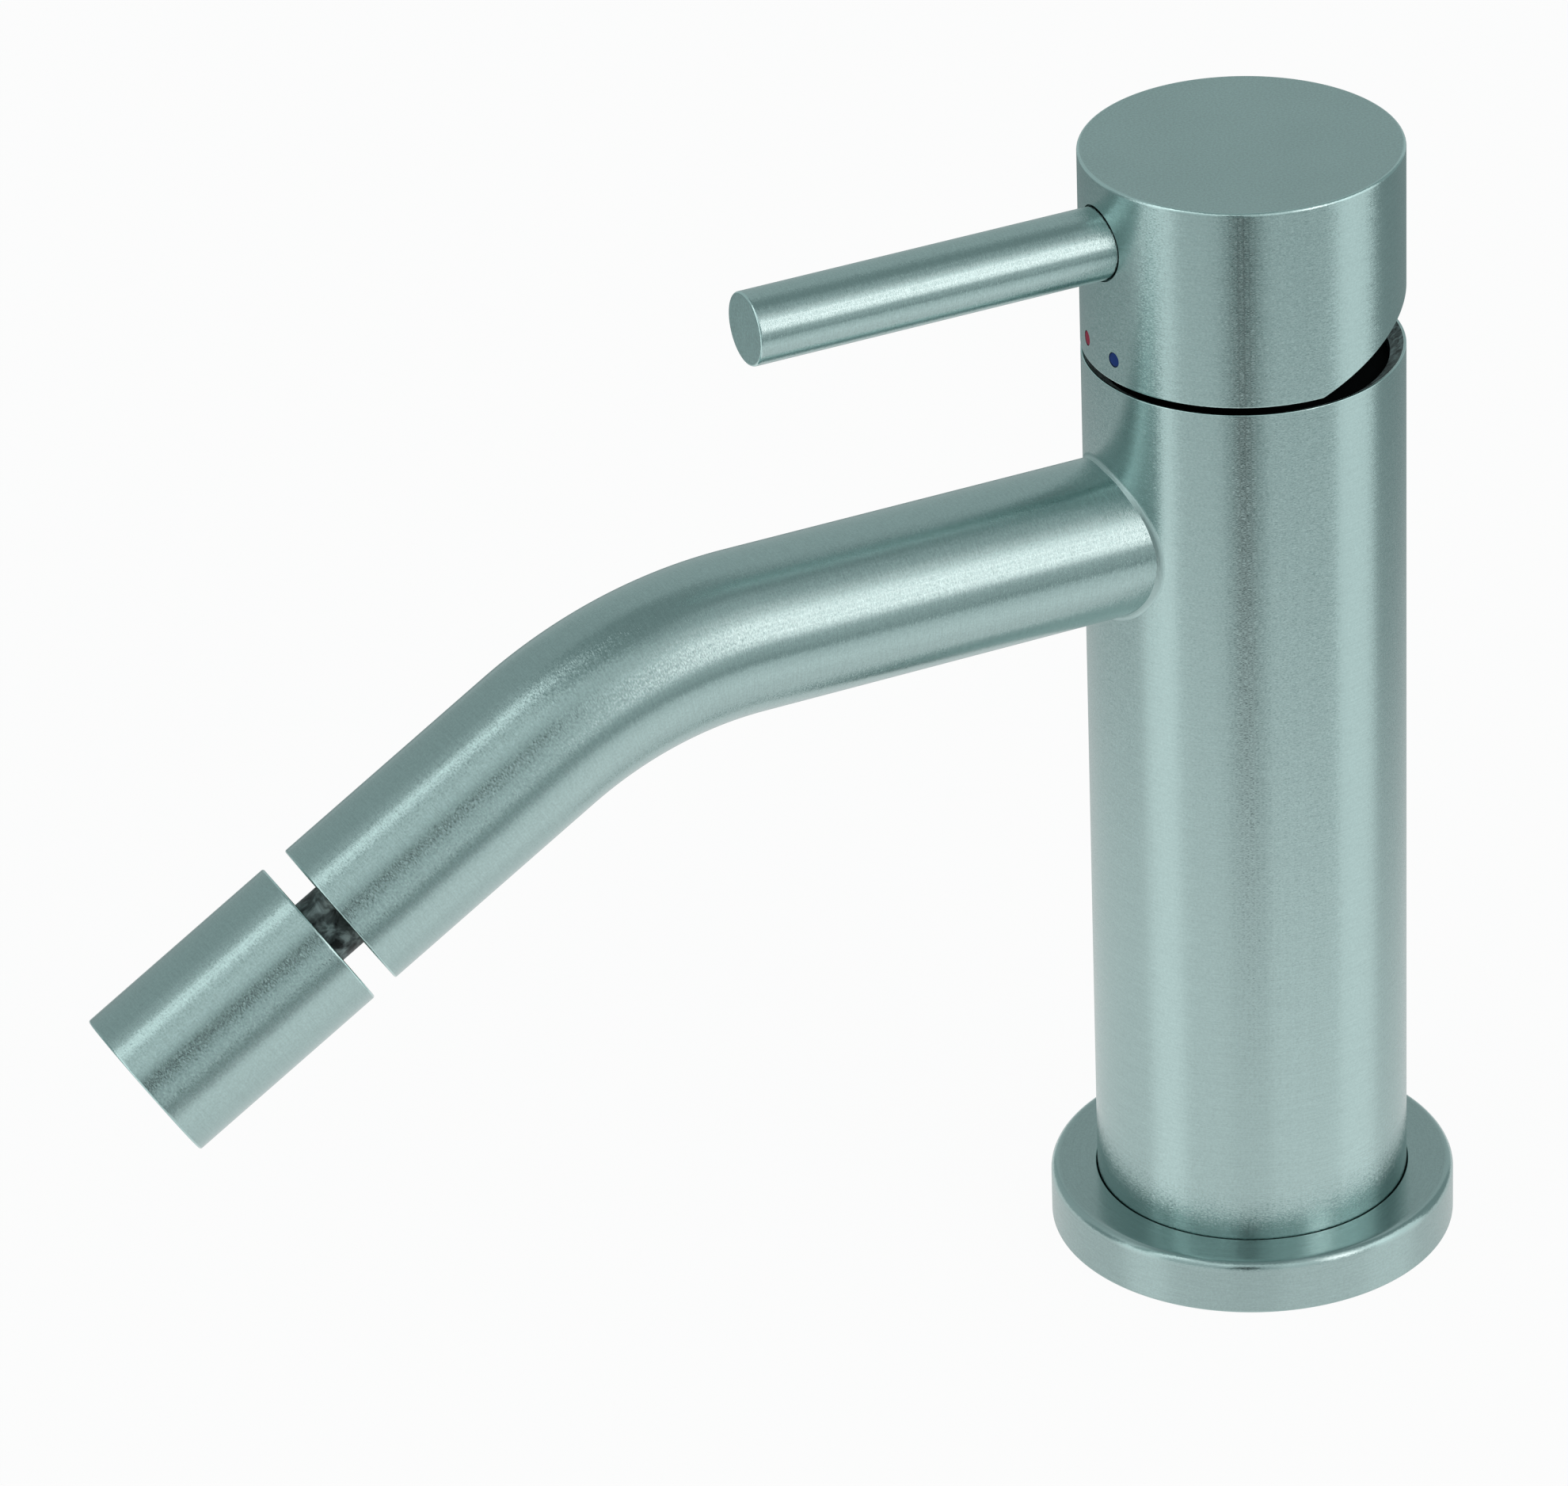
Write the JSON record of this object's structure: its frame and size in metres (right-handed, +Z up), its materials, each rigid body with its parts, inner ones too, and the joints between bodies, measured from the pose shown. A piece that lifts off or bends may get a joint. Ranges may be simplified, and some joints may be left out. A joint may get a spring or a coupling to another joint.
{
  "type": "bidet mixer",
  "caption": "Single lever deck-mounted bidet mixer with a round column, a down-curved spout and a swivelling ball-joint aerator nozzle.",
  "frame": {"origin": "centre of the base's underside, on the column's axis and at the middle of the tap hole", "axes": "+Z up the column, -X the way that the spout and the lever point, +Y towards the hot side (the user's left)"},
  "size_m": [0.1814, 0.052, 0.1518],
  "materials": {
    "steel_body": "brushed around the column",
    "steel_flange": "brushed in circles",
    "steel_spout": "brushed around the tube",
    "steel_weld": "ground and polished",
    "steel_cap": "brushed side, fine matt top",
    "steel_lever": "brushed around the bar",
    "steel_nozzle": "brushed around the nozzle",
    "steel_ball": "turned and polished",
    "steel_small": "bright",
    "steel_screw": "blackened",
    "brass_raw": "turned",
    "copper_tube": "drawn copper",
    "rubber_black": "matt",
    "disc_ceramic": "lapped",
    "plastic_white": "moulded",
    "plastic_grey": "moulded",
    "dot_red": "glossy enamel",
    "dot_blue": "glossy enamel"
  },
  "bodies": {
    "tap_body": {"body_tube": "steel_body", "base_flange": "steel_flange", "flange_ring": "rubber_black", "base_gasket": "rubber_black", "inlet_base": "brass_raw", "hot_riser": "copper_tube", "cold_riser": "copper_tube", "riser_rings": "rubber_black", "cartridge_holder": "brass_raw", "holder_rings": "rubber_black", "cartridge_base": "plastic_white", "port_seals": "rubber_black", "disc_seals": "rubber_black", "fixed_disc": "disc_ceramic", "cartridge_housing": "plastic_white", "retaining_nut": "brass_raw", "spout_tube": "steel_spout", "spout_weld": "steel_weld", "outlet_adapter": "brass_raw", "adapter_ring": "rubber_black"},
    "rotor": {"mixer_rotor": "plastic_grey", "pivot_pin": "steel_small"},
    "handle": {"handle_cap": "steel_cap", "lever_rod": "steel_lever", "handle_grub_screw": "steel_screw", "hot_dot": "dot_red", "cold_dot": "dot_blue", "cartridge_stem": "brass_raw"},
    "valve_disc": {"moving_disc": "disc_ceramic", "disc_carrier": "plastic_grey"},
    "swivel_stem": {"ball_stem": "steel_ball", "stem_clip": "steel_small"},
    "nozzle": {"ball_seat": "plastic_white", "ball_seal": "rubber_black", "seat_retainer": "brass_raw", "nozzle_shell": "steel_nozzle", "aerator_gasket": "rubber_black", "aerator_housing": "plastic_white", "inlet_screen": "steel_small", "flow_regulator": "plastic_grey", "outlet_grid": "plastic_white"}
  },
  "joints": [
    {"name": "handle_turn", "type": "hinge", "parent": "tap_body", "child": "rotor", "pos_m": [0, 0, 0.1205], "axis": [0, 0, 1], "range_deg": [-50, 50]},
    {"name": "handle_lift", "type": "hinge", "parent": "rotor", "child": "handle", "pos_m": [0, 0, 0.1205], "axis": [0, 1, 0], "range_deg": [0, 20]},
    {"name": "disc_slide", "type": "slide", "parent": "rotor", "child": "valve_disc", "axis": [-1, 0, 0], "range_m": [0, 0.0026]},
    {"name": "neck_turn", "type": "hinge", "parent": "tap_body", "child": "swivel_stem", "pos_m": [-0.13336, 0, 0.073], "axis": [-0.8545, 0, -0.5195], "continuous": true},
    {"name": "nozzle_tilt", "type": "hinge", "parent": "swivel_stem", "child": "nozzle", "pos_m": [-0.13336, 0, 0.073], "axis": [0, 1, 0], "range_deg": [-18, 18]}
  ],
  "couplings": [
    {"joint": "disc_slide", "follows": "handle_lift", "m_per_rad": 0.0073486}
  ]
}
